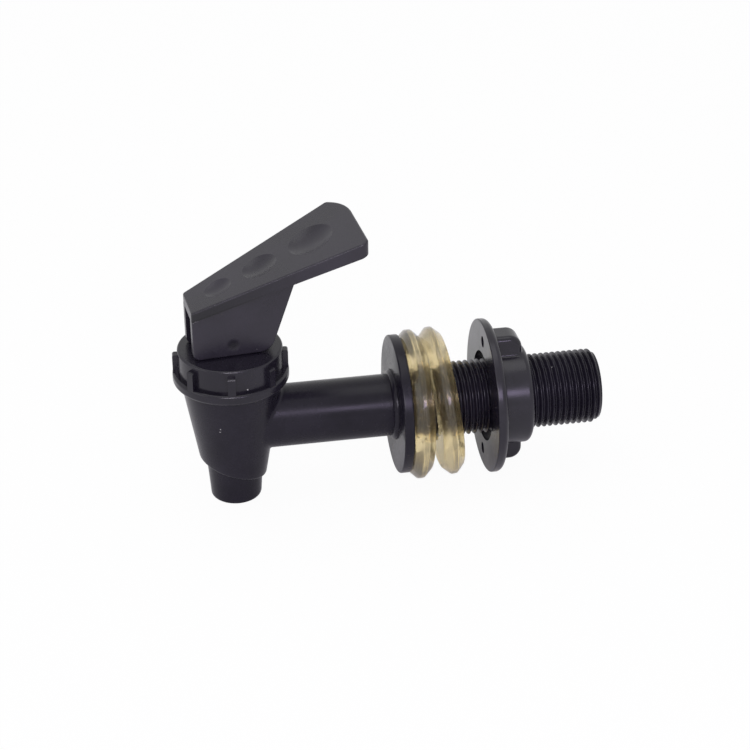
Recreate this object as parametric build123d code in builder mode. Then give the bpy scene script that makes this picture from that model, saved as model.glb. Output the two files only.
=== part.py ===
"""Push-lever plastic tap for a water filter, with two washers and a wing nut on its threaded shank.

Origin at the centre of the flange's back face, +X along the shank into the vessel, +Z up, millimetres.
"""
import math
import os

from build123d import *

# Shank, flange and tube, along X
reach = 38.1
tube_d = 13.9
bore_d = 10.0
flange_d = 31.0
flange_t = 2.3
flange_round = 0.4
tube_flange_fillet = 1.0
shank_length = 43.9
shank_neck = 2.6
thread_d = 16.662
thread_pitch = 1.337
thread_half_angle = 27.5
thread_depth = 0.856

# Body and spout, about the stem's axis
cone_top_z = 10.6
cone_top_d = 22.0
cone_half_angle = 9.6
shoulder_z = -11.4
shoulder_slope = 21.0
shoulder_round = 0.9
spout_end_z = -18.8
spout_end_d = 11.2
spout_half_angle = 4.2
spout_end_round = 0.6
outlet_d = 7.2
body_wall = 1.7
neck_wall = 1.5
tube_body_fillet = 1.0

# Screwed bonnet
bonnet_top_z = 18.8
bonnet_d = 22.9
bonnet_wall = 2.0
bonnet_roof = 2.2
bonnet_edge_round = 0.5
bonnet_ledge_gap = 0.4
bonnet_fit = 0.10
rim_d = 25.4
rim_height = 2.4
rim_round = 0.7
rib_count = 8
rib_width = 1.7
rib_d = 25.1
rib_top_drop = 1.3
rib_round = 0.5
rib_start = -95.0

# Seat cup, stem and return spring
seat_lip = 0.7
seat_lip_width = 0.7
cup_rim_t = 1.2
cup_rim_grip = 0.3
cup_wall = 1.0
water_gap = 2.55
plug_t = 4.2
plug_overlap = 0.3
stem_d = 5.2
stem_fit = 0.08
stem_disc_d = 8.4
stem_disc_t = 1.4
stem_neck_d = 3.2
stem_foot_d = 4.8
stem_foot_t = 1.4
stem_foot_drop = 1.2
stem_head_rise = 2.6
wire_d = 0.9
spring_turns = 7
end_gap = 0.05

# Lever, in its own upright plane through the stem's axis
lever_heading = 5.2
lever_gap = 0.15
lever_front = 8.8
lever_tip = 28.45
lever_width = 10.0
lever_wall = 2.0
heel_back = 8.2
heel_round = 3.6
toe_round = 1.4
rear_lean = 19.6
rear_wall = 2.0
plate_front_z = 11.7
plate_slope = 22.8
plate_front_t = 2.2
plate_tip_t = 3.4
plate_tip_width = 25.0
plate_end_r = 12.5
plate_end_sweep = 44.0
plate_end_straight = 15.6
plate_far_corner = 0.9
plate_near_corner = 1.5
plate_front_corner = 0.7
plate_edge_round = 0.45
cheek_edge_round = 0.3
pivot_rise = 2.8
trunnion_d = 2.8
trunnion_fit = 0.08
trunnion_depth = 1.2
dimple_depth_share = 0.11
dimples = ((-2.0, 6.2), (7.2, 8.0), (18.5, 10.3))

# Washers
washer_d = 33.4
washer_fit = 0.47
washer_t = 4.65
washer_bevel = 1.75
washer_round = 0.6
washer_tilt = 5.8
rest_gap = 0.03

# Wing nut
nut_x = 18.2
nut_flange_d = 34.6
nut_flange_t = 2.3
nut_length = 9.65
nut_hub_wall = 2.8
nut_hub_round = 1.3
nut_face_round = 0.3
nut_back_round = 1.2
nut_turn = 5.0
nut_fit = 0.10
nut_mouth_step = 1.77
nut_mouth_depth = 1.2
lug_length = 3.94
lug_width = 6.8
lug_end_drop = 1.3
lug_corner = 2.8
lug_edge_round = 1.3
lug_foot_round = 0.7
core_hole_d = 2.6
core_hole_out = 2.0
core_hole_depth = 5.5

# Values that follow from the sizes above
body_x = -reach
tube_r = tube_d / 2
crest_r = thread_d / 2
root_r = crest_r - thread_depth
washer_bore_r = crest_r + washer_fit
roof_z = bonnet_top_z - bonnet_roof
neck_top_z = roof_z - cup_rim_t
bonnet_bore_r = bonnet_d / 2 - bonnet_wall
neck_r = bonnet_bore_r - bonnet_fit
chamber_r = neck_r - neck_wall
bonnet_bottom_z = cone_top_z + bonnet_ledge_gap
cone_rate = math.tan(math.radians(cone_half_angle))
spout_rate = math.tan(math.radians(spout_half_angle))
shoulder_rate = math.tan(math.radians(shoulder_slope))


def cone_r(z):
    """Outer radius of the body's cone at height z."""
    return cone_top_d / 2 - cone_rate * (cone_top_z - z)


def spout_r(z):
    """Outer radius of the spout at height z."""
    return spout_end_d / 2 + spout_rate * (z - spout_end_z)


def axis_distance(edge):
    """Distance of an edge's middle from the shank's axis."""
    return math.hypot(edge.center().Y, edge.center().Z)


floor_z = shoulder_z + shoulder_rate * cone_r(shoulder_z) + body_wall
seat_z = floor_z + seat_lip
outlet_r = outlet_d / 2
seat_r = outlet_r + seat_lip_width
floor_r = cone_r(floor_z) - body_wall
chamber_taper_z = cone_top_z - (cone_top_d / 2 - chamber_r - body_wall) / cone_rate
cup_top_r = chamber_r - water_gap
cup_rim_r = chamber_r + cup_rim_grip
cup_plug_r = seat_r + plug_overlap
cup_floor_z = seat_z + plug_t
cup_bore_r = stem_disc_d / 2 + stem_fit
disc_bottom_z = cup_floor_z + end_gap
disc_top_z = disc_bottom_z + stem_disc_t
foot_top_z = disc_bottom_z - stem_foot_drop
pivot_z = bonnet_top_z + pivot_rise
channel_w = lever_width - 2 * lever_wall
stem_r = stem_d / 2
trunnion_r = trunnion_d / 2

stem_axis = Axis((body_x, 0, 0), (0, 0, 1))
body_plane = Plane(origin=(body_x, 0, 0), x_dir=(1, 0, 0), z_dir=(0, -1, 0))

os.makedirs("parts", exist_ok=True)


def thread_outline():
    """Ridges of the shank's thread as points (x, radius), from the neck to the shank's end."""
    flank = thread_depth * math.tan(math.radians(thread_half_angle))
    flat = thread_pitch / 2 - flank
    count = math.floor((shank_length - shank_neck) / thread_pitch)
    points = []
    for i in range(count):
        x = shank_neck + i * thread_pitch
        points.append((x, root_r))
        points.append((x + flank, crest_r))
        points.append((x + flank + flat, crest_r))
        points.append((x + 2 * flank + flat, root_r))
    return points


# Tap body: chamber cone, spout, tube, flange and threaded shank in one moulding
with BuildPart() as tap_body:
    with BuildSketch(body_plane):
        with BuildLine():
            cone_low_z = shoulder_z - 2 * shoulder_rate * cone_r(shoulder_z)
            Polyline(
                (0, neck_top_z), (neck_r, neck_top_z), (neck_r, cone_top_z), (cone_top_d / 2, cone_top_z),
                (cone_r(cone_low_z), cone_low_z), (0, cone_low_z), close=True,
            )
        make_face()
    revolve(axis=stem_axis)
    shoulder_plane = Plane(
        origin=(body_x, 0, shoulder_z),
        z_dir=(math.sin(math.radians(shoulder_slope)), 0, math.cos(math.radians(shoulder_slope))),
    )
    split(bisect_by=shoulder_plane, keep=Keep.TOP)
    fillet(tap_body.faces().sort_by(Axis.Z)[0].edges(), shoulder_round)
    with BuildSketch(body_plane) as spout_section:
        with BuildLine():
            Polyline((0, floor_z), (spout_r(floor_z), floor_z), (spout_end_d / 2, spout_end_z),
                     (0, spout_end_z), close=True)
        make_face()
        fillet(spout_section.vertices().group_by(Axis.Y)[0].sort_by(Axis.X)[-1], spout_end_round)
    revolve(axis=stem_axis)
    with BuildSketch(Plane.XZ) as tube_section:
        with BuildLine():
            flange_front = -flange_t
            rim_r = flange_d / 2
            Polyline((body_x, 0), (body_x, tube_r), (flange_front - tube_flange_fillet, tube_r))
            RadiusArc(
                (flange_front - tube_flange_fillet, tube_r),
                (flange_front, tube_r + tube_flange_fillet),
                tube_flange_fillet,
            )
            Polyline((flange_front, tube_r + tube_flange_fillet), (flange_front, rim_r), (0, rim_r),
                     (0, root_r), *thread_outline(), (shank_length, root_r), (shank_length, 0), (body_x, 0))
        make_face()
        fillet(tube_section.vertices().group_by(Axis.Y)[-1], flange_round)
    revolve(axis=Axis.X)
    joint_edges = tap_body.edges().filter_by(
        lambda e: e.geom_type not in (GeomType.LINE, GeomType.CIRCLE)
        and body_x + stem_r < e.center().X < body_x + cone_top_d / 2
        and abs(e.center().Z) < tube_r
    )
    fillet(joint_edges, tube_body_fillet)
    with BuildSketch(body_plane):
        with BuildLine():
            Polyline(
                (0, neck_top_z), (chamber_r, neck_top_z), (chamber_r, chamber_taper_z), (floor_r, floor_z),
                (seat_r + seat_lip, floor_z), (seat_r, seat_z), (outlet_r, seat_z), (outlet_r, spout_end_z),
                (0, spout_end_z), close=True,
            )
        make_face()
    revolve(axis=stem_axis, mode=Mode.SUBTRACT)
    with BuildSketch(Plane.YZ.offset(body_x)):
        Circle(bore_d / 2)
    extrude(amount=reach + shank_length, mode=Mode.SUBTRACT)
tap_body.part.label = "tap_body"
export_step(tap_body.part, "parts/tap_body.step")

# One grip rib of the bonnet, standing on the +X side of the stem's axis
with BuildPart() as rib:
    with BuildSketch(body_plane) as rib_side:
        with BuildLine():
            rib_top = bonnet_top_z - rib_top_drop
            rib_root = bonnet_d / 2 - bonnet_wall / 2
            rib_foot = bonnet_bottom_z + rim_height / 2
            Polyline((rib_root, rib_foot), (rib_d / 2, rib_foot), (rib_d / 2, rib_top), (rib_root, rib_top),
                     close=True)
        make_face()
        fillet(rib_side.vertices().group_by(Axis.Y)[-1].sort_by(Axis.X)[-1], rib_round)
    extrude(amount=rib_width / 2, both=True)

# Bonnet: ribbed cap screwed over the body's neck, with a bead round its lower rim
with BuildPart() as bonnet:
    with BuildSketch(body_plane) as bonnet_section:
        with BuildLine():
            rim_top = bonnet_bottom_z + rim_height
            Polyline(
                (stem_r + stem_fit, bonnet_top_z), (bonnet_d / 2, bonnet_top_z), (bonnet_d / 2, rim_top),
                (rim_d / 2, rim_top), (rim_d / 2, bonnet_bottom_z), (bonnet_bore_r, bonnet_bottom_z),
                (bonnet_bore_r, roof_z), (stem_r + stem_fit, roof_z), close=True,
            )
        make_face()
        fillet(bonnet_section.vertices().group_by(Axis.X)[-1], rim_round)
        top_corner = bonnet_section.vertices().group_by(Axis.Y)[-1].sort_by(Axis.X)[-1]
        fillet(top_corner, bonnet_edge_round)
    revolve(axis=stem_axis)
    with Locations((body_x, 0, 0)):
        with PolarLocations(0, rib_count, start_angle=rib_start):
            add(rib.part.moved(Location((reach, 0, 0))))
bonnet.part.label = "bonnet"
export_step(bonnet.part, "parts/bonnet.step")

# Seat cup: silicone bell clamped under the bonnet, with the plug that closes the outlet
with BuildPart() as seat_cup:
    with BuildSketch(body_plane):
        with BuildLine():
            foot_r = stem_foot_d / 2 + stem_fit
            neck_hole_r = stem_neck_d / 2 + stem_fit
            foot_bottom_z = foot_top_z - stem_foot_t
            Polyline(
                (cup_top_r - cup_wall, roof_z), (cup_rim_r, roof_z), (cup_rim_r, neck_top_z),
                (cup_top_r, neck_top_z), (cup_top_r, chamber_taper_z), (cup_plug_r, seat_z), (0, seat_z),
                (0, foot_bottom_z - end_gap), (foot_r, foot_bottom_z - end_gap),
                (foot_r, foot_top_z + end_gap), (neck_hole_r, foot_top_z + end_gap),
                (neck_hole_r, cup_floor_z), (cup_bore_r, cup_floor_z), (cup_bore_r, disc_top_z),
                (cup_top_r - cup_wall, chamber_taper_z), close=True,
            )
        make_face()
    revolve(axis=stem_axis)
seat_cup.part.label = "seat_cup"
export_step(seat_cup.part, "parts/seat_cup.step")

# Stem: foot button, spring disc, rod and the cross trunnions that carry the lever
lever_side = Plane(
    origin=(body_x, 0, bonnet_top_z),
    x_dir=(math.cos(math.radians(lever_heading)), math.sin(math.radians(lever_heading)), 0),
    z_dir=(math.sin(math.radians(lever_heading)), -math.cos(math.radians(lever_heading)), 0),
)
with BuildPart() as stem:
    with BuildSketch(body_plane) as stem_section:
        with BuildLine():
            Polyline(
                (0, foot_top_z - stem_foot_t), (stem_foot_d / 2, foot_top_z - stem_foot_t),
                (stem_foot_d / 2, foot_top_z), (stem_neck_d / 2, foot_top_z),
                (stem_neck_d / 2, disc_bottom_z), (stem_disc_d / 2, disc_bottom_z),
                (stem_disc_d / 2, disc_top_z), (stem_r, disc_top_z),
                (stem_r, pivot_z + stem_head_rise), (0, pivot_z + stem_head_rise), close=True,
            )
        make_face()
        head_corner = stem_section.vertices().group_by(Axis.Y)[-1].sort_by(Axis.X)[-1]
        fillet(head_corner, stem_r / 2)
    revolve(axis=stem_axis)
    with BuildSketch(lever_side):
        with Locations((0, pivot_rise)):
            Circle(trunnion_r)
    extrude(amount=channel_w / 2 + trunnion_depth - end_gap, both=True)
stem.part.label = "stem"
export_step(stem.part, "parts/stem.step")

# Return spring: round wire between the stem's disc and the bonnet's roof
spring_r = (stem_disc_d - wire_d) / 2 - stem_fit
spring_bottom_z = disc_top_z + wire_d / 2 + end_gap
spring_height = roof_z - end_gap - wire_d / 2 - spring_bottom_z
with BuildPart() as return_spring:
    with BuildLine() as coil:
        Helix(spring_height / spring_turns, spring_height, spring_r, center=(body_x, 0, spring_bottom_z))
    with BuildSketch(Plane(origin=coil.line @ 0, z_dir=coil.line % 0)):
        Circle(wire_d / 2)
    sweep()
return_spring.part.label = "return_spring"
export_step(return_spring.part, "parts/return_spring.step")

# Lever: two cheeks with a channel between them under a flared, dimpled thumb plate
lever_plan = Plane(origin=lever_side.origin, x_dir=lever_side.x_dir, z_dir=(0, 0, 1))
slope_sin = math.sin(math.radians(plate_slope))
slope_cos = math.cos(math.radians(plate_slope))
slope_rate = slope_sin / slope_cos
plate_rise = (lever_tip + lever_front) * slope_rate
plate_tip_z = plate_front_z + plate_rise
lean = math.tan(math.radians(rear_lean))
plate_top = Plane(
    origin=lever_side.from_local_coords((0, plate_front_z + lever_front * slope_rate, 0)),
    x_dir=lever_side.x_dir * slope_cos + Vector(0, 0, slope_sin),
    z_dir=Vector(0, 0, slope_cos) - lever_side.x_dir * slope_sin,
)
with BuildPart() as plate:
    with BuildSketch(lever_side):
        with BuildLine():
            Polyline((-lever_front, plate_front_z), (lever_tip, plate_tip_z),
                     (lever_tip, plate_tip_z - plate_tip_t), (-lever_front, plate_front_z - plate_front_t),
                     close=True)
        make_face()
    extrude(amount=plate_tip_width, both=True)
    with BuildSketch(lever_plan) as plate_outline:
        with BuildLine():
            end_start = (lever_tip, plate_end_straight - plate_tip_width / 2)
            end_curve = JernArc(end_start, (0, 1), plate_end_r, plate_end_sweep)
            Polyline(end_curve @ 1, (-lever_front, lever_width / 2), (-lever_front, -lever_width / 2),
                     (lever_tip, -plate_tip_width / 2), end_start)
        make_face()
        fillet(plate_outline.vertices().sort_by(Axis.Y)[-1], plate_far_corner)
        fillet(plate_outline.vertices().sort_by(Axis.Y)[0], plate_near_corner)
        fillet(plate_outline.vertices().group_by(Axis.X)[0], plate_front_corner)
    extrude(amount=plate_tip_z + plate_front_z, mode=Mode.INTERSECT)
    fillet(plate.faces().sort_by(Axis(plate_top.origin, plate_top.z_dir))[-1].edges(), plate_edge_round)

with BuildPart() as lever:
    with BuildSketch(lever_side) as cheek:
        with BuildLine():
            under_rate = (plate_rise - plate_tip_t + plate_front_t) / (lever_tip + lever_front)
            under_axis_z = plate_front_z - plate_front_t + under_rate * lever_front
            rear_base = heel_back - lean * lever_gap
            rear_top_z = (under_axis_z + under_rate * rear_base) / (1 - under_rate * lean)
            Polyline((-lever_front, lever_gap), (heel_back, lever_gap),
                     (rear_base + lean * rear_top_z, rear_top_z),
                     (-lever_front, plate_front_z - plate_front_t), close=True)
        make_face()
        low_corners = cheek.vertices().group_by(Axis.Y)[0].sort_by(Axis.X)
        fillet(low_corners[0], toe_round)
        fillet(cheek.vertices().group_by(Axis.Y)[0].sort_by(Axis.X)[-1], heel_round)
    extrude(amount=lever_width / 2, both=True)
    fillet(lever.faces().filter_by(Axis(lever_side.origin, lever_side.z_dir)).edges(), cheek_edge_round)
    with BuildSketch(lever_side):
        with BuildLine():
            inner_base = rear_base - rear_wall
            inner_top_z = (under_axis_z + under_rate * inner_base) / (1 - under_rate * lean)
            Polyline((-2 * lever_front, 0), (inner_base, 0), (inner_base + lean * inner_top_z, inner_top_z),
                     (-2 * lever_front, under_axis_z - 2 * under_rate * lever_front), close=True)
        make_face()
    extrude(amount=channel_w / 2, both=True, mode=Mode.SUBTRACT)
    add(plate.part)
    with BuildSketch(lever_side):
        with Locations((0, pivot_rise)):
            Circle(trunnion_r + trunnion_fit)
    extrude(amount=channel_w / 2 + trunnion_depth, both=True, mode=Mode.SUBTRACT)
    for along, diameter in dimples:
        depth = diameter * dimple_depth_share
        ball_r = (diameter ** 2 / 4 + depth ** 2) / (2 * depth)
        slant = along / slope_cos
        with Locations(plate_top.from_local_coords((slant, 0, ball_r - depth))):
            Sphere(ball_r, mode=Mode.SUBTRACT)
lever.part.label = "lever"
export_step(lever.part, "parts/lever.step")


def washer_section(plane):
    """Half section of a bevelled washer, drawn as (thickness, radius) on the given plane."""
    with BuildSketch(plane) as section:
        with BuildLine():
            Polyline(
                (0, washer_bore_r), (0, washer_d / 2 - washer_bevel), (washer_bevel, washer_d / 2),
                (washer_t - washer_bevel, washer_d / 2), (washer_t, washer_d / 2 - washer_bevel),
                (washer_t, washer_bore_r), close=True,
            )
        make_face()
        fillet(section.vertices().filter_by(lambda v: v.Y > washer_bore_r + washer_round), washer_round)
    return section


# Outer washer, flat against the flange and hanging on the shank
washer_drop = washer_fit - rest_gap
outer_plane = Plane(origin=(0, 0, -washer_drop), x_dir=(1, 0, 0), z_dir=(0, -1, 0))
outer_section = washer_section(outer_plane)
with BuildPart() as outer_washer:
    add(outer_section.sketch)
    revolve(axis=Axis(outer_plane.origin, outer_plane.x_dir))
outer_washer.part.label = "outer_washer"
export_step(outer_washer.part, "parts/outer_washer.step")

# Inner washer, leaning away from the outer one at the bottom
tilt_sin = math.sin(math.radians(washer_tilt))
tilt_cos = math.cos(math.radians(washer_tilt))
face_r = washer_d / 2 - washer_bevel
inner_plane = Plane(
    origin=(washer_t + rest_gap + face_r * tilt_sin, 0, crest_r + rest_gap - washer_bore_r * tilt_cos),
    x_dir=(tilt_cos, 0, tilt_sin),
    z_dir=(0, -1, 0),
)
inner_section = washer_section(inner_plane)
with BuildPart() as inner_washer:
    add(inner_section.sketch)
    revolve(axis=Axis(inner_plane.origin, inner_plane.x_dir))
inner_washer.part.label = "inner_washer"
export_step(inner_washer.part, "parts/inner_washer.step")

# The wing nut's two lugs, upright when the nut is not turned
nut_end = nut_x + nut_length
nut_bore_r = crest_r + nut_fit
nut_hub_r = nut_bore_r + nut_hub_wall
nut_mouth_r = nut_bore_r + nut_mouth_step
lug_reach = nut_hub_r + lug_length
lug_plane = Plane(
    origin=(0, 0, 0),
    x_dir=(1, 0, 0),
    z_dir=(0, -math.cos(math.radians(nut_turn)), math.sin(math.radians(nut_turn))),
)
with BuildPart() as lugs:
    with BuildSketch(lug_plane) as lug_sides:
        lug_start = nut_x + (nut_mouth_depth + nut_flange_t) / 2
        lug_end = nut_end - lug_end_drop
        lug_root_r = (nut_bore_r + nut_hub_r) / 2
        lug_root_edge_r = math.hypot(lug_root_r, lug_width / 2)
        for side in (1, -1):
            with BuildLine():
                Polyline((lug_start, side * lug_root_r), (lug_start, side * lug_reach),
                         (lug_end, side * lug_reach), (lug_end, side * lug_root_r), close=True)
            make_face()
        for level in (0, -1):
            fillet(lug_sides.vertices().group_by(Axis.Y)[level].sort_by(Axis.X)[-1], lug_corner)
    extrude(amount=lug_width / 2, both=True)
    lug_edges = lugs.faces().filter_by(Axis((0, 0, 0), lug_plane.z_dir)).edges().filter_by(
        lambda e: e.center().X > lug_start + end_gap and axis_distance(e) > lug_root_edge_r + end_gap
    )
    fillet(lug_edges, lug_edge_round)

# Wing nut: flange, round hub and the lugs, cored from the flange side
with BuildPart() as wing_nut:
    with BuildSketch(Plane.XZ) as nut_section:
        with BuildLine():
            Polyline(
                (nut_x, nut_mouth_r), (nut_x, nut_flange_d / 2), (nut_x + nut_flange_t, nut_flange_d / 2),
                (nut_x + nut_flange_t, nut_hub_r), (nut_end, nut_hub_r), (nut_end, nut_bore_r),
                (nut_x + nut_mouth_depth, nut_bore_r), (nut_x + nut_mouth_depth, nut_mouth_r), close=True,
            )
        make_face()
        fillet(nut_section.vertices().group_by(Axis.Y)[-1].sort_by(Axis.X)[0], nut_face_round)
        fillet(nut_section.vertices().group_by(Axis.Y)[-1].sort_by(Axis.X)[-1], nut_back_round)
        fillet(nut_section.vertices().group_by(Axis.X)[-1].sort_by(Axis.Y)[-1], nut_hub_round)
    revolve(axis=Axis.X)
    add(lugs.part)
    hub_lines = wing_nut.edges().filter_by(Axis.X).filter_by(
        lambda e: abs(axis_distance(e) - nut_hub_r) < end_gap
    )
    fillet(hub_lines, lug_foot_round)
    with BuildSketch(Plane.YZ.offset(nut_x)):
        with PolarLocations(nut_hub_r + core_hole_out, 2, start_angle=90 - nut_turn):
            Circle(core_hole_d / 2)
    extrude(amount=core_hole_depth, mode=Mode.SUBTRACT)
wing_nut.part.label = "wing_nut"
export_step(wing_nut.part, "parts/wing_nut.step")
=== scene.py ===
"""Looks of a push-lever plastic tap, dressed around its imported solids.

Everything is in metres, in the frame of the solids: the origin is the centre of the flange's back face,
+X runs along the threaded shank and +Z is up.
"""
import logging
import math
from dataclasses import dataclass
from enum import Enum
from typing import Any, Mapping

import bmesh
import bpy
from mathutils import Euler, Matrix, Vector


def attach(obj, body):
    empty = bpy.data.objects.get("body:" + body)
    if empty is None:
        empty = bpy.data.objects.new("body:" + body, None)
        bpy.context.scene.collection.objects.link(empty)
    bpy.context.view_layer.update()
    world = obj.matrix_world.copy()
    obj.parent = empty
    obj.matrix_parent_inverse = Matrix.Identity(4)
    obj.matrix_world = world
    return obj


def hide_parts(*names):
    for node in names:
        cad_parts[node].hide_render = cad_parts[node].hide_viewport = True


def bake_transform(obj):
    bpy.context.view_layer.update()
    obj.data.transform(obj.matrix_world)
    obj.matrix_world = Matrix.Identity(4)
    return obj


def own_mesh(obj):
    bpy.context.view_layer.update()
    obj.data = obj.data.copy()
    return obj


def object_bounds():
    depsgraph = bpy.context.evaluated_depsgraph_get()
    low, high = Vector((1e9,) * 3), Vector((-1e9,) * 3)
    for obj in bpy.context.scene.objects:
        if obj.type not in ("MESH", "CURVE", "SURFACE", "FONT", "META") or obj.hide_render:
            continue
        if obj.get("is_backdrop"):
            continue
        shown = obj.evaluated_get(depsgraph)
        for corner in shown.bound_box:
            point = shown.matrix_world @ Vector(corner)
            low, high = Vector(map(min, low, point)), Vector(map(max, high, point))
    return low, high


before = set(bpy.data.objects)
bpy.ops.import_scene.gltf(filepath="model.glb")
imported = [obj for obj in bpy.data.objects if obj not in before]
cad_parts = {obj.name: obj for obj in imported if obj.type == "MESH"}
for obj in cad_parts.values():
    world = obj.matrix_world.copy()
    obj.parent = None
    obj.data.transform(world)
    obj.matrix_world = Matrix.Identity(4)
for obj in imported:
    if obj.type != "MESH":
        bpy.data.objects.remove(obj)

LOG = logging.getLogger("tap")
MM = 0.001
PIVOT = (-0.0381, 0.0, 0.0216)
PIVOT_AXIS = (-0.0906326, 0.9958844, 0.0)
WHITE = (1.0, 1.0, 1.0, 1.0)
WELD = 1e-6
LEAST_CUT = 1e-7
Colour = tuple[float, float, float]
Point = tuple[float, float, float]


class Body(Enum):
    """The moving bodies that pieces ride on."""

    TAP = "tap"
    SEAT = "seat"


class Slot(Enum):
    """Material slots of the record."""

    BLACK_PLASTIC = "black_plastic"
    SILICONE = "silicone"
    SPRING_STEEL = "spring_steel"


class Value:
    """A number that a node gives, with the operators of ordinary arithmetic."""

    def __init__(self, graph: "Graph", socket: bpy.types.NodeSocket) -> None:
        """Wraps one output socket.

        Args:
            graph: The graph that the socket's node belongs to.
            socket: The output socket.
        """
        self.graph = graph
        self.socket = socket

    def math(self, operation: str, *others: Any) -> "Value":
        """Adds a Math node with this value first.

        Args:
            operation: The Math node's operation.
            others: The node's further operands, values or numbers.

        Returns:
            The node's result.
        """
        return self.graph.node("ShaderNodeMath", {"operation": operation}, dict(enumerate((self, *others))))

    def output(self, key: str | int) -> "Value":
        """Another output of the same node.

        Args:
            key: The output's name or number.

        Returns:
            That output.
        """
        return Value(self.graph, self.socket.node.outputs[key])

    def __add__(self, other: Any) -> "Value":
        """Adds a value or a number.

        Args:
            other: The value or number.

        Returns:
            The sum.
        """
        return self.math("ADD", other)

    __radd__ = __add__

    def __mul__(self, other: Any) -> "Value":
        """Multiplies by a value or a number.

        Args:
            other: The value or number.

        Returns:
            The product.
        """
        return self.math("MULTIPLY", other)

    __rmul__ = __mul__

    def __sub__(self, other: Any) -> "Value":
        """Subtracts a value or a number.

        Args:
            other: The value or number.

        Returns:
            The difference.
        """
        return self.math("SUBTRACT", other)

    def __rsub__(self, other: Any) -> "Value":
        """Subtracts this value from a number.

        Args:
            other: The value or number.

        Returns:
            The difference.
        """
        return (self * -1.0).math("ADD", other)

    def __truediv__(self, other: Any) -> "Value":
        """Divides by a value or a number.

        Args:
            other: The value or number.

        Returns:
            The quotient.
        """
        return self.math("DIVIDE", other)

    def __lt__(self, other: Any) -> "Value":
        """Compares with a value or a number.

        Args:
            other: The value or number.

        Returns:
            One where this value is the smaller, and zero elsewhere.
        """
        return self.math("LESS_THAN", other)

    def __gt__(self, other: Any) -> "Value":
        """Compares with a value or a number.

        Args:
            other: The value or number.

        Returns:
            One where this value is the larger, and zero elsewhere.
        """
        return self.math("GREATER_THAN", other)

    def ramp(self, low: Any, high: Any) -> "Value":
        """Makes a smooth step.

        Args:
            low: Where the step starts, and below which it is zero.
            high: Where the step ends, and above which it is one.

        Returns:
            The step's height, from 0 to 1.
        """
        return self.graph.node(
            "ShaderNodeMapRange", {"interpolation_type": "SMOOTHSTEP"},
            {"Value": self, "From Min": low, "From Max": high},
        )


class Graph:
    """A node tree under construction."""

    def __init__(self, tree: bpy.types.NodeTree) -> None:
        """Wraps a tree that is filled through node().

        Args:
            tree: The shader or geometry tree.
        """
        self.tree = tree

    def node(self, kind: str, settings: Mapping[str, Any] | None = None,
             inputs: Mapping[str | int, Any] | None = None) -> Value:
        """Adds a node.

        Args:
            kind: The node's type name.
            settings: Its properties, set before its sockets.
            inputs: Values or links for its input sockets, by name or number.

        Returns:
            The node's first enabled output.
        """
        made = self.tree.nodes.new(kind)
        for name, setting in (settings or {}).items():
            setattr(made, name, setting)
        for key, given in (inputs or {}).items():
            if isinstance(given, Value):
                self.tree.links.new(given.socket, made.inputs[key])
            else:
                made.inputs[key].default_value = given
        shown = [socket for socket in made.outputs if socket.enabled]
        return Value(self, shown[0] if shown else None)

    def mix(self, share: Value, first: Any, second: Any) -> Value:
        """Mixes two colours.

        Args:
            share: How much of the second colour shows, from 0 to 1.
            first: The first colour, plain or from a node.
            second: The second colour, plain or from a node.

        Returns:
            The mixed colour.
        """
        colours = [c if isinstance(c, Value) else (*c, 1.0) for c in (first, second)]
        return self.node("ShaderNodeMix", {"data_type": "RGBA"}, {0: share, 6: colours[0], 7: colours[1]})


class Finish:
    """What every finish shares: a new material, its shader and its surface output."""

    def start(self, name: str) -> tuple[bpy.types.Material, Graph, Value]:
        """Makes an empty node material.

        Args:
            name: The material's name.

        Returns:
            The material, its graph and its Object coordinates.
        """
        material = bpy.data.materials.new(name)
        material.use_nodes = True
        material.node_tree.nodes.clear()
        graph = Graph(material.node_tree)
        return material, graph, graph.node("ShaderNodeTexCoord").output("Object")

    @staticmethod
    def noise(graph: Graph, place: Value, feature: float, detail: float = 2.0) -> Value:
        """Adds noise.

        Args:
            graph: The material's graph.
            place: The coordinates.
            feature: About the size of the noise's features, in metres.
            detail: How many finer layers it has.

        Returns:
            The noise, from 0 to 1.
        """
        return graph.node("ShaderNodeTexNoise", inputs={"Vector": place, "Scale": 1.0 / feature, "Detail": detail})

    @staticmethod
    def cells(graph: Graph, place: Value, spacing: float) -> Value:
        """Adds scattered cells.

        Args:
            graph: The material's graph.
            place: The coordinates.
            spacing: Width of a cell in metres.

        Returns:
            The cells, with each cell's colour and the distance from its middle as outputs.
        """
        return graph.node("ShaderNodeTexVoronoi", inputs={"Vector": place, "Scale": 1.0 / spacing})

    @staticmethod
    def close(graph: Graph, **sockets: Any) -> Value:
        """Adds the Principled shader and joins it to the surface output.

        Args:
            graph: The material's graph.
            sockets: The shader's sockets, with underscores for the spaces in their names.

        Returns:
            The surface output's node.
        """
        named = {key.replace("_", " "): value for key, value in sockets.items()}
        shader = graph.node("ShaderNodeBsdfPrincipled", inputs=named)
        return graph.node("ShaderNodeOutputMaterial", inputs={"Surface": shader})


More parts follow.
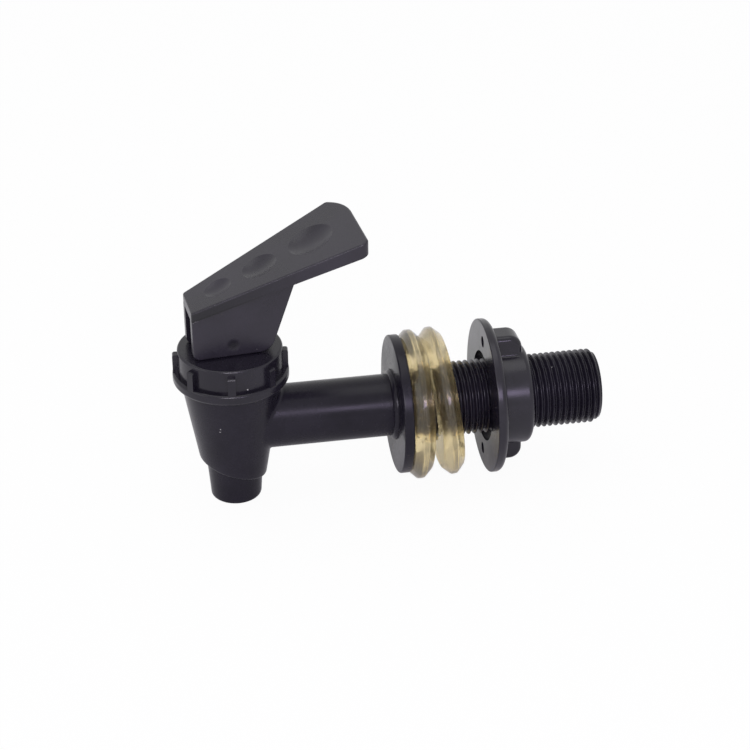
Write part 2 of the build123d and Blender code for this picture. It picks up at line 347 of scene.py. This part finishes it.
@dataclass(frozen=True)
class PaintedPlateShade:
    """Painted shade on the narrow side of the lever's thumb plate, darker towards the front, with a painted shadow
    line along its lower edge.

    Attributes:
        heading: Direction of the lever's length.
        under: Slope vector of the plate's underside, with a height of one.
        under_rise: Height of the underside over the pivot.
        top: Slope vector of the plate's top.
        top_rise: Height of the top over the pivot.
        front: Where the painted shade is deepest, along the lever from the pivot.
        rear: Where the painted shade has faded out.
        line: Half the width of the painted shadow line under the plate's lower edge.
        clear: How far below the top the painted shade stops.
        inner: Half the width of the middle strip that stays clear of it.
        depth: How dark the painted shade on the side is at the front, from 0 to 1.
        fade_power: How late the painted shade fades, where 1 is an even fade and less is later.
    """

    heading: Point = (0.9958844, 0.0906326, 0.0)
    under: Point = (-0.386542, -0.035178, 1.0)
    under_rise: float = 10.116 * MM
    top: Point = (-0.418630, -0.038098, 1.0)
    top_rise: float = 12.599 * MM
    front: float = -9.0 * MM
    rear: float = 15.0 * MM
    line: float = 0.28 * MM
    clear: float = 0.4 * MM
    inner: float = 4.5 * MM
    depth: float = 0.75
    fade_power: float = 0.5

    def shadow(self, graph: Graph, place: Value) -> Value:
        """Share of painted shade on the plate's side and of the painted shadow line along its lower edge.

        Args:
            graph: The lever's shader graph.
            place: The lever's Object coordinates.

        Returns:
            The share, from 0 to 1.
        """
        arm = graph.node("ShaderNodeVectorMath", {"operation": "SUBTRACT"}, {0: place, 1: PIVOT})
        along, over, under_top, across = (
            graph.node("ShaderNodeVectorMath", {"operation": "DOT_PRODUCT"}, {0: arm, 1: direction})
            for direction in (self.heading, self.under, self.top, PIVOT_AXIS)
        )
        height = over - self.under_rise
        fade = 1.0 - along.ramp(self.front, self.rear)
        # Painted shade: the plate's side is darkened, most towards the front.
        side = (height > 0.0) * (under_top < self.top_rise - self.clear) * self.depth
        # Painted shadow: a thin dark line just above the plate's lower edge.
        line = 1.0 - (height - self.line / 2).math("ABSOLUTE").ramp(self.line / 3, self.line)
        outer = across.math("ABSOLUTE") > self.inner
        return (side + line).math("MINIMUM", 1.0) * fade.math("POWER", self.fade_power) * outer


@dataclass(frozen=True)
class BlackPlastic(Finish):
    """Moulded black plastic with a fine grain, uneven sheen and a little dust; on the lever also painted shade in
    the sink mark and on the thumb plate's side.

    Attributes:
        name: The material's name.
        dark: Colour of the plain plastic.
        pale: Colour where the surface is dull and a little chalky.
        roughness: Mean roughness.
        specular: Strength of the reflection, where 0.5 is that of plain plastic.
        grain: Depth of the moulded grain in metres.
        grain_size: Width of the grain in metres.
        dust: Share of the dust cells that hold a speck.
        sink: Depth of the sink mark on the ends of the lever's pivot, in metres.
        edge: The painted shade on the thumb plate's side and along its lower edge, if the piece has one.
        cloud_size: Width of the large patches of the sheen.
        fine_size: Width of its small patches.
        cloud_share: How much of the colour follows the large patches. The rest follows the small ones.
        cloud_dull: How far the large patches change the roughness.
        fine_dull: How far the small patches change it.
        dust_spacing: Width of the dust cells.
        speck_size: Radius of a speck, in dust cells.
        speck_dull: Roughness that a speck adds.
        speck: Colour of a speck.
        sink_from: Radius of the sink mark's flat bottom.
        sink_to: Radius of its rim.
        sink_share: How far the sink mark is darkened with painted shade.
        hollow_shade: Painted shade colour in the sink mark's dent.
        shade: Painted shade colour on the thumb plate's side and along its lower edge.
        painted_shade_dull: Roughness that the painted shade adds.
    """

    name: str
    dark: Colour = (0.0065, 0.0054, 0.0098)
    pale: Colour = (0.0150, 0.0128, 0.0212)
    roughness: float = 0.26
    specular: float = 0.21
    grain: float = 0.008 * MM
    grain_size: float = 0.22 * MM
    dust: float = 0.12
    sink: float = 0.0
    edge: PaintedPlateShade | None = None
    cloud_size: float = 11.0 * MM
    fine_size: float = 1.2 * MM
    cloud_share: float = 0.6
    cloud_dull: float = 0.08
    fine_dull: float = 0.10
    dust_spacing: float = 3.0 * MM
    speck_size: float = 0.045
    speck_dull: float = 0.4
    speck: Colour = (0.55, 0.54, 0.53)
    sink_from: float = 0.4 * MM
    sink_to: float = 1.7 * MM
    sink_share: float = 0.6
    # Painted shade colour for the sink mark's dent.
    hollow_shade: Colour = (0.003, 0.003, 0.004)
    # Painted shade colour for the thumb plate's side and its lower edge.
    shade: Colour = (0.002, 0.002, 0.003)
    painted_shade_dull: float = 0.35

    def pivot_distance(self, graph: Graph, place: Value) -> Value:
        """Measures from the line through the lever's pivot.

        Args:
            graph: The lever's shader graph.
            place: The lever's Object coordinates.

        Returns:
            The distance in metres.
        """
        arm = graph.node("ShaderNodeVectorMath", {"operation": "SUBTRACT"}, {0: place, 1: PIVOT})
        area = graph.node("ShaderNodeVectorMath", {"operation": "CROSS_PRODUCT"}, {0: arm, 1: PIVOT_AXIS})
        return graph.node("ShaderNodeVectorMath", {"operation": "LENGTH"}, {0: area})

    def material(self) -> bpy.types.Material:
        """Builds the material.

        Returns:
            The finished material.
        """
        material, graph, place = self.start(self.name)
        cloud = self.noise(graph, place, self.cloud_size, 4.0).ramp(0.30, 0.70)
        fine = self.noise(graph, place, self.fine_size, 3.0)
        grain = self.noise(graph, place, self.grain_size, 1.0)
        cells = self.cells(graph, place, self.dust_spacing)
        lucky = graph.node("ShaderNodeSeparateColor", inputs={"Color": cells.output("Color")})
        speck = (cells.output("Distance") < self.speck_size) * (lucky < self.dust)
        body = graph.mix(cloud * self.cloud_share + fine * (1.0 - self.cloud_share), self.dark, self.pale)
        height = grain * self.grain
        if self.sink:
            # Painted shade: the sink mark's dent is darkened in colour, as well as dipped in the bump.
            hollow_shade = 1.0 - self.pivot_distance(graph, place).ramp(self.sink_from, self.sink_to)
            body = graph.mix(hollow_shade * self.sink_share, body, self.hollow_shade)
            height = height - hollow_shade * self.sink
        dull = (cloud - 0.5) * self.cloud_dull + (fine - 0.5) * self.fine_dull + speck * self.speck_dull
        # Painted shade on the thumb plate's side, with a painted shadow line under its lower edge.
        if self.edge:
            shadow = self.edge.shadow(graph, place)
            body = graph.mix(shadow, body, self.shade)
            dull = dull + shadow * self.painted_shade_dull
        bump = graph.node("ShaderNodeBump", inputs={"Height": height, "Distance": 1.0, "Strength": 1.0})
        self.close(
            graph,
            Base_Color=graph.mix(speck, body, self.speck),
            Roughness=self.roughness + dull,
            Normal=bump,
            Specular_IOR_Level=self.specular,
        )
        return material


@dataclass(frozen=True)
class ClearRubber(Finish):
    """Soft translucent rubber, pale yellow, with small bubbles and a wavy moulded surface.

    Attributes:
        name: The material's name.
        clear: Colour where it is clear.
        milky: Colour where it is milky.
        roughness: Mean roughness.
        uneven: How far the milky clouds change the roughness.
        cloud_size: Width of the milky clouds.
        wave_size: Width of the surface's waves.
        wave_height: Their height.
        bubble_spacing: Distance between bubbles.
        bubble_height: How far a bubble lifts the surface.
        patch_size: Width of the patches that hold bubbles.
        bump: Strength of waves and bubbles together.
        ior: How strongly it bends light.
        transmission: Share of the light that goes through.
        coat: Weight of the wet-looking skin.
        coat_roughness: Roughness of that skin.
    """

    name: str
    clear: Colour = (0.92, 0.78, 0.47)
    milky: Colour = (0.84, 0.67, 0.35)
    roughness: float = 0.20
    uneven: float = 0.2
    cloud_size: float = 6.0 * MM
    wave_size: float = 2.2 * MM
    wave_height: float = 0.12 * MM
    bubble_spacing: float = 1.1 * MM
    bubble_height: float = 0.16 * MM
    patch_size: float = 7.5 * MM
    bump: float = 0.7
    ior: float = 1.38
    transmission: float = 0.985
    coat: float = 0.4
    coat_roughness: float = 0.06

    def material(self) -> bpy.types.Material:
        """Builds the material.

        Returns:
            The finished material.
        """
        material, graph, place = self.start(self.name)
        cloud = self.noise(graph, place, self.cloud_size, 3.0)
        waves = self.noise(graph, place, self.wave_size, 2.0)
        cells = self.cells(graph, place, self.bubble_spacing)
        patch = self.noise(graph, place, self.patch_size, 1.0).ramp(0.50, 0.62)
        bubble = (1.0 - cells.output("Distance").ramp(0.10, 0.30)) * patch
        height = waves * self.wave_height + bubble * self.bubble_height
        bump = graph.node("ShaderNodeBump", inputs={"Height": height, "Distance": 1.0, "Strength": self.bump})
        self.close(
            graph,
            Base_Color=graph.mix(cloud, self.clear, self.milky),
            Roughness=self.roughness + (cloud - 0.5) * self.uneven,
            Normal=bump,
            IOR=self.ior,
            Transmission_Weight=self.transmission,
            Coat_Weight=self.coat,
            Coat_Roughness=self.coat_roughness,
        )
        return material


@dataclass(frozen=True)
class SpringWire(Finish):
    """Drawn stainless wire.

    Attributes:
        name: The material's name.
        dark: Colour in the drawing marks.
        bright: Colour between them.
        mark_size: Width of the drawing marks.
        roughness: Least roughness.
        uneven: Roughness that the marks add at most.
    """

    name: str
    dark: Colour = (0.45, 0.44, 0.42)
    bright: Colour = (0.68, 0.67, 0.65)
    mark_size: float = 0.6 * MM
    roughness: float = 0.22
    uneven: float = 0.2

    def material(self) -> bpy.types.Material:
        """Builds the material.

        Returns:
            The finished material.
        """
        material, graph, place = self.start(self.name)
        drawn = self.noise(graph, place, self.mark_size, 3.0)
        self.close(
            graph,
            Base_Color=graph.mix(drawn, self.dark, self.bright),
            Roughness=self.roughness + drawn * self.uneven,
            Metallic=1.0,
        )
        return material


@dataclass(frozen=True)
class PaleMoulding(Finish):
    """Natural moulded plastic or silicone, a little cloudy.

    Attributes:
        name: The material's name.
        dark: Colour in the clouds.
        pale: Colour between them.
        roughness: Mean roughness.
        uneven: How far the clouds change the roughness.
        cloud_size: Width of the clouds.
        grain_size: Width of the moulded grain.
        grain: Depth of the grain.
    """

    name: str
    dark: Colour
    pale: Colour
    roughness: float
    uneven: float = 0.1
    cloud_size: float = 4.0 * MM
    grain_size: float = 0.3 * MM
    grain: float = 0.02 * MM

    def material(self) -> bpy.types.Material:
        """Builds the material.

        Returns:
            The finished material.
        """
        material, graph, place = self.start(self.name)
        cloud = self.noise(graph, place, self.cloud_size, 3.0)
        grain = self.noise(graph, place, self.grain_size)
        bump = graph.node("ShaderNodeBump", inputs={"Height": grain, "Distance": self.grain})
        self.close(
            graph,
            Base_Color=graph.mix(cloud, self.dark, self.pale),
            Roughness=self.roughness + (cloud - 0.5) * self.uneven,
            Normal=bump,
        )
        return material


def dress(piece: bpy.types.Object, material: bpy.types.Material) -> None:
    """Gives a piece one material.

    Args:
        piece: The object, new or packed.
        material: The material for all its faces.
    """
    piece.data.materials.clear()
    piece.data.materials.append(material)


@dataclass
class Moulding:
    """The tap's body moulding with a true helical thread on its shank.

    Attributes:
        cut_x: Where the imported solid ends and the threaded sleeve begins.
        end_x: The shank's free end.
        bore_r: Radius of the water bore.
        root_r: Radius at the thread's root.
        depth: Height of the thread.
        pitch: Length of one turn.
        segments: Faces round the sleeve.
        rows_per_turn: Rows of faces in each turn of the thread.
        run_out: Length over which the thread fades at either end, in turns.
        flat: Share of each flank's width that is flat at the root and at the crest.
        sharp_angle: Edges that turn by more than this, in degrees, are drawn sharp.
        low_sharp_angle: The same round the spout, where the slanted shoulder meets it at a slight angle.
        low_z: Height below which that smaller angle holds.
    """

    cut_x: float = 2.58 * MM
    end_x: float = 43.9 * MM
    bore_r: float = 5.0 * MM
    root_r: float = 7.475 * MM
    depth: float = 0.856 * MM
    pitch: float = 1.337 * MM
    segments: int = 96
    rows_per_turn: int = 14
    run_out: float = 0.9
    flat: float = 0.10
    sharp_angle: float = 32.0
    low_sharp_angle: float = 20.0
    low_z: float = -6.0 * MM

    def sleeve_tree(self, material: bpy.types.Material) -> bpy.types.NodeTree:
        """Builds the node tree of the threaded sleeve, a grid wrapped round the shank.

        Args:
            material: The sleeve's material.

        Returns:
            The tree, with its sizes as named inputs.
        """
        tree = bpy.data.node_groups.new("threaded_sleeve", "GeometryNodeTree")
        sizes = {
            "Start": self.cut_x, "End": self.end_x, "Bore Radius": self.bore_r, "Root Radius": self.root_r,
            "Depth": self.depth, "Pitch": self.pitch, "Run Out": self.run_out,
        }
        for name, size in sizes.items():
            socket = tree.interface.new_socket(name=name, in_out="INPUT", socket_type="NodeSocketFloat")
            socket.default_value = size
        rows = tree.interface.new_socket(name="Rows", in_out="INPUT", socket_type="NodeSocketInt")
        rows.default_value = 1
        tree.interface.new_socket(name="Geometry", in_out="OUTPUT", socket_type="NodeSocketGeometry")
        graph = Graph(tree)
        given = graph.node("NodeGroupInput")
        start, end, bore, root, depth, pitch, run_out, row_count = (
            given.output(name) for name in (*sizes, "Rows")
        )
        grid = graph.node(
            "GeometryNodeMeshGrid",
            inputs={"Size X": 1.0, "Size Y": 1.0, "Vertices X": self.segments + 1, "Vertices Y": row_count + 4},
        )
        across = graph.node("ShaderNodeSeparateXYZ", inputs={0: grid.output("UV Map")})
        turn = across.output("X")
        row = (across.output("Y") * (row_count + 3)).math("ROUND")
        on_bore = (row > row_count + 0.5) * (row < row_count + 2.5)
        share = (row / row_count).math("MINIMUM", 1.0) * (row < row_count + 1.5)
        x = start + (end - start) * share
        phase = ((x - start) / pitch - turn).math("FRACT")
        ridge = (phase * 2.0 - 1.0).math("ABSOLUTE").ramp(self.flat, 1.0 - self.flat)
        fade = (x - start).ramp(0.0, pitch * run_out) * (end - x).ramp(0.0, pitch * run_out)
        radius = (root + depth * ridge * fade) * (1.0 - on_bore) + bore * on_bore
        angle = turn * math.tau
        place = graph.node(
            "ShaderNodeCombineXYZ",
            inputs={"X": x, "Y": radius * angle.math("COSINE"), "Z": radius * angle.math("SINE")},
        )
        wrapped = graph.node("GeometryNodeSetPosition", inputs={"Geometry": grid, "Position": place})
        welded = graph.node("GeometryNodeMergeByDistance", inputs={"Geometry": wrapped, "Distance": WELD})
        real = graph.node("GeometryNodeRealizeInstances", inputs={"Geometry": welded})
        painted = graph.node("GeometryNodeSetMaterial", inputs={"Geometry": real, "Material": material})
        graph.node("NodeGroupOutput", inputs={"Geometry": painted})
        return tree

    def sleeve(self, material: bpy.types.Material) -> bpy.types.Mesh:
        """Makes the threaded sleeve's mesh.

        Args:
            material: The sleeve's material.

        Returns:
            A closed mesh of the shank from the cut to its free end.
        """
        tree = self.sleeve_tree(material)
        holder = bpy.data.objects.new("sleeve_maker", bpy.data.meshes.new("sleeve_maker"))
        bpy.context.scene.collection.objects.link(holder)
        modifier = holder.modifiers.new("thread", "NODES")
        modifier.node_group = tree
        identifiers = {item.name: item.identifier for item in tree.interface.items_tree}
        turns = (self.end_x - self.cut_x) / self.pitch
        modifier[identifiers["Rows"]] = round(turns * self.rows_per_turn)
        bpy.context.view_layer.update()
        evaluated = holder.evaluated_get(bpy.context.evaluated_depsgraph_get())
        mesh = bpy.data.meshes.new_from_object(evaluated)
        holder.modifiers.remove(modifier)
        bpy.data.objects.remove(holder)
        return mesh

    def stub(self, work: bmesh.types.BMesh) -> None:
        """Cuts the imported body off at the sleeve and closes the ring-shaped cut.

        Args:
            work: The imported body's mesh, changed in place.
        """
        bmesh.ops.remove_doubles(work, verts=work.verts, dist=WELD)
        bmesh.ops.bisect_plane(
            work, geom=[*work.verts, *work.edges, *work.faces], dist=LEAST_CUT,
            plane_co=(self.cut_x, 0, 0), plane_no=(1, 0, 0), clear_outer=True,
        )
        rim = [
            edge for edge in work.edges
            if edge.is_boundary and all(abs(vert.co.x - self.cut_x) < WELD for vert in edge.verts)
        ]
        bmesh.ops.bridge_loops(work, edges=rim)

    def shade(self, work: bmesh.types.BMesh) -> None:
        """Draws the faces smooth and the true edges sharp.

        Args:
            work: The moulding's mesh, changed in place.
        """
        for face in work.faces:
            face.smooth = True
        for edge in work.edges:
            low = max(vert.co.z for vert in edge.verts) < self.low_z
            limit = self.low_sharp_angle if low else self.sharp_angle
            edge.smooth = edge.calc_face_angle(0.0) < math.radians(limit)

    def build(self, material: bpy.types.Material) -> bpy.types.Object:
        """Builds the moulding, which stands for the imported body.

        Args:
            material: Its finish.

        Returns:
            The finished piece.
        """
        work = bmesh.new()
        work.from_mesh(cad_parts["tap_body"].data)
        self.stub(work)
        sleeve = self.sleeve(material)
        work.from_mesh(sleeve)
        bmesh.ops.recalc_face_normals(work, faces=work.faces)
        self.shade(work)
        mesh = bpy.data.meshes.new("tap_moulding")
        work.to_mesh(mesh)
        work.free()
        bpy.data.meshes.remove(sleeve)
        piece = bpy.data.objects.new("tap_moulding", mesh)
        bpy.context.scene.collection.objects.link(piece)
        dress(piece, material)
        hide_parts("tap_body")
        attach(piece, Body.TAP.value)
        return piece


@dataclass(frozen=True)
class Insert:
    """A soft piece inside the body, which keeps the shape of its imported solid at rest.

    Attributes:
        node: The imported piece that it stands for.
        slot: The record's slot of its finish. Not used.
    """

    node: str
    slot: Slot

    def copy(self, material: bpy.types.Material) -> bpy.types.Object:
        """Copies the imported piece.

        Args:
            material: The copy's finish.

        Returns:
            The copy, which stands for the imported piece.
        """
        piece = bpy.data.objects.new(f"{self.node}_insert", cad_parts[self.node].data.copy())
        bpy.context.scene.collection.objects.link(piece)
        dress(piece, material)
        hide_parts(self.node)
        return piece


@dataclass(frozen=True)
class Coil(Insert):
    """A spring that hangs from the bonnet, kept in its shape at rest on the tap's body.

    Attributes:
        length: Its length at rest, downwards from the anchor. Not used.
        anchor_z: Height of its fixed upper end. Not used.
        lift: The seat's longest travel. Not used.
        joint: Name of the joint of the seat's lift. Not used.
    """

    length: float = 17.1 * MM
    anchor_z: float = 16.6 * MM
    lift: float = 3.2 * MM
    joint: str = "seat_lift"

    def build(self, material: bpy.types.Material) -> bpy.types.Object:
        """Builds the spring on the tap's own body.

        Args:
            material: Its finish.

        Returns:
            The finished piece.
        """
        piece = self.copy(material)
        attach(piece, Body.TAP.value)
        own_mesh(piece)
        return piece


@dataclass(frozen=True)
class Bell(Insert):
    """A rubber bell whose rim is clamped under the bonnet and whose plug rests on the seat. The copy stays fixed
    where the imported solid is.

    Attributes:
        rim_z: Height above which it stays with the tap. Not used.
        plug_z: Height below which it moves with the seat. Not used.
    """

    rim_z: float = 15.2 * MM
    plug_z: float = 0.5 * MM

    def build(self, material: bpy.types.Material) -> bpy.types.Object:
        """Copies the bell and bakes its placement into its mesh.

        Args:
            material: Its finish.

        Returns:
            The finished piece.
        """
        piece = self.copy(material)
        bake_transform(piece)
        return piece


@dataclass(frozen=True)
class Softbox:
    """A rectangular studio light that faces the tap.

    Attributes:
        name: The light's name.
        place: Where it stands, in metres.
        width: Its size across.
        height: Its size upwards.
        power: Its power in watts.
        tint: Its colour.
    """

    name: str
    place: Point
    width: float
    height: float
    power: float
    tint: Colour = (1.0, 1.0, 1.0)

    def build(self, target: Vector) -> bpy.types.Object:
        """Hangs the light so that it faces a point.

        Args:
            target: The point.

        Returns:
            The light's object.
        """
        lamp = bpy.data.lights.new(self.name, "AREA")
        lamp.shape = "RECTANGLE"
        lamp.size = self.width
        lamp.size_y = self.height
        lamp.energy = self.power
        lamp.color = self.tint
        holder = bpy.data.objects.new(self.name, lamp)
        bpy.context.scene.collection.objects.link(holder)
        holder.location = self.place
        holder.rotation_euler = (target - Vector(self.place)).to_track_quat("-Z", "Y").to_euler()
        return holder


@dataclass
class Studio:
    """The white table, the lights and the camera of the photograph.

    Attributes:
        camera_place: Where the camera stands.
        camera_turn: Its turn in degrees.
        lens_mm: Its focal length on a 36 mm sensor.
        nearest: Where the camera's view begins.
        target: The point that the lights face.
        floor_half: Half the table's width.
        floor_gap: Room between the table and the tap's lowest point.
        floor_matt: Share of the light that the table throws back.
        world_light: Strength of the even light from all round.
        floor_white: How far the table looks white instead of lit, from 0 to 1.
        floor_glossy: How much of that whiteness reflections see.
        world_glossy: How much of the surroundings' whiteness reflections see.
        softboxes: The lights.
    """

    camera_place: Point = (-0.074826, -0.408958, 0.252423)
    camera_turn: Point = (59.4767, 0.4764, -9.7987)
    lens_mm: float = 104.51
    nearest: float = 0.01
    target: Point = (-0.003, 0.0, 0.010)
    floor_half: float = 3.0
    floor_gap: float = 0.2 * MM
    floor_matt: float = 0.90
    world_light: float = 0.55
    floor_white: float = 0.95
    floor_glossy: float = 0.05
    world_glossy: float = 0.65
    softboxes: tuple[Softbox, ...] = (
        Softbox("front_light", (-0.18, -0.85, 0.56), 0.34, 0.34, 4.2, (0.92, 0.86, 1.0)),
        Softbox("flash", (0.17, -0.86, 0.50), 0.20, 0.20, 0.95, (0.78, 0.66, 1.0)),
        Softbox("top_light", (-0.10, 0.10, 1.10), 0.90, 0.90, 2.5),
        Softbox("left_light", (-0.90, -0.20, 0.35), 0.60, 0.60, 1.0),
    )

    def camera(self) -> None:
        """Sets up the photograph's camera."""
        lens = bpy.data.cameras.new("photo_camera")
        lens.sensor_width = 36.0
        lens.lens = self.lens_mm
        lens.clip_start = self.nearest
        holder = bpy.data.objects.new("photo_camera", lens)
        bpy.context.scene.collection.objects.link(holder)
        holder.location = self.camera_place
        holder.rotation_euler = Euler([math.radians(a) for a in self.camera_turn])
        bpy.context.scene.camera = holder

    @staticmethod
    def seen(graph: Graph, glossy: float) -> Value:
        """How far a ray sees plain white instead of the studio's own light.

        Args:
            graph: The graph of the surroundings' shader.
            glossy: The share for reflections. The camera and clear pieces see it fully.

        Returns:
            The share, from 0 to 1.
        """
        path = graph.node("ShaderNodeLightPath")
        clear = path.output("Is Camera Ray") + path.output("Is Transmission Ray")
        return (clear + path.output("Is Glossy Ray") * glossy).math("MINIMUM", 1.0)

    def floor(self, low: float) -> None:
        """Lays the white table under the tap.

        Args:
            low: Height of the tap's lowest point.
        """
        half, level = self.floor_half, low - self.floor_gap
        mesh = bpy.data.meshes.new("table")
        corners = [(-half, -half, level), (half, -half, level), (half, half, level), (-half, half, level)]
        mesh.from_pydata(corners, [], [(0, 1, 2, 3)])
        table = bpy.data.objects.new("table", mesh)
        bpy.context.scene.collection.objects.link(table)
        material = bpy.data.materials.new("white_table")
        material.use_nodes = True
        material.node_tree.nodes.clear()
        graph = Graph(material.node_tree)
        matt = graph.node("ShaderNodeBsdfDiffuse", inputs={"Color": (*[self.floor_matt] * 3, 1.0)})
        glow = graph.node("ShaderNodeEmission", inputs={"Color": WHITE, "Strength": 1.0})
        share = self.seen(graph, self.floor_glossy) * self.floor_white
        both = graph.node("ShaderNodeMixShader", inputs={0: share, 1: matt, 2: glow})
        graph.node("ShaderNodeOutputMaterial", inputs={"Surface": both})
        dress(table, material)
        table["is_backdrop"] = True

    def world(self) -> None:
        """Makes the white surroundings."""
        world = bpy.data.worlds.new("white_tent")
        world.use_nodes = True
        world.node_tree.nodes.clear()
        graph = Graph(world.node_tree)
        light = self.world_light + self.seen(graph, self.world_glossy) * (1.0 - self.world_light)
        shell = graph.node("ShaderNodeBackground", inputs={"Color": WHITE, "Strength": light})
        graph.node("ShaderNodeOutputWorld", inputs={"Surface": shell})
        bpy.context.scene.world = world

    def build(self, low: float) -> None:
        """Builds the whole studio.

        Args:
            low: Height of the tap's lowest point.
        """
        bpy.context.scene.view_settings.view_transform = "Standard"
        self.camera()
        self.floor(low)
        self.world()
        for softbox in self.softboxes:
            softbox.build(Vector(self.target))


def main() -> None:
    """Builds the studio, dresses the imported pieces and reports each."""
    logging.basicConfig(level=logging.INFO)
    cad_box = [list(corner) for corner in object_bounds()]
    Studio().build(cad_box[0][2])
    body_plastic = BlackPlastic("body_plastic").material()
    # The lever carries painted shade in its pivot's sink mark and on its thumb plate's side.
    lever_plastic = BlackPlastic(
        "lever_plastic", dark=(0.011, 0.0093, 0.015), pale=(0.021, 0.018, 0.028), roughness=0.30, specular=0.44,
        grain=0.03 * MM, sink=0.12 * MM, edge=PaintedPlateShade(),
    ).material()
    nut_plastic = BlackPlastic("nut_plastic", roughness=0.20, specular=0.42).material()
    bonnet_plastic = BlackPlastic("bonnet_plastic", roughness=0.26, specular=0.37).material()
    rubber = ClearRubber("clear_rubber").material()
    finishes = {
        "bonnet": bonnet_plastic,
        "lever": lever_plastic,
        "stem": PaleMoulding("stem_plastic", (0.60, 0.60, 0.58), (0.76, 0.76, 0.74), 0.45).material(),
        "outer_washer": rubber,
        "inner_washer": rubber,
        "wing_nut": nut_plastic,
    }
    for node, material in finishes.items():
        dress(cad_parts[node], material)
        LOG.info("%s: %s", node, material.name)
    silicone = PaleMoulding("seat_silicone", (0.66, 0.66, 0.63), (0.80, 0.80, 0.77), 0.55).material()
    pieces = (
        Moulding().build(body_plastic),
        Bell("seat_cup", Slot.SILICONE).build(silicone),
        Coil("return_spring", Slot.SPRING_STEEL).build(SpringWire("spring_wire").material()),
    )
    for piece in pieces:
        LOG.info("%s: %d faces", piece.name, len(piece.data.polygons))


if __name__ == "__main__":
    main()
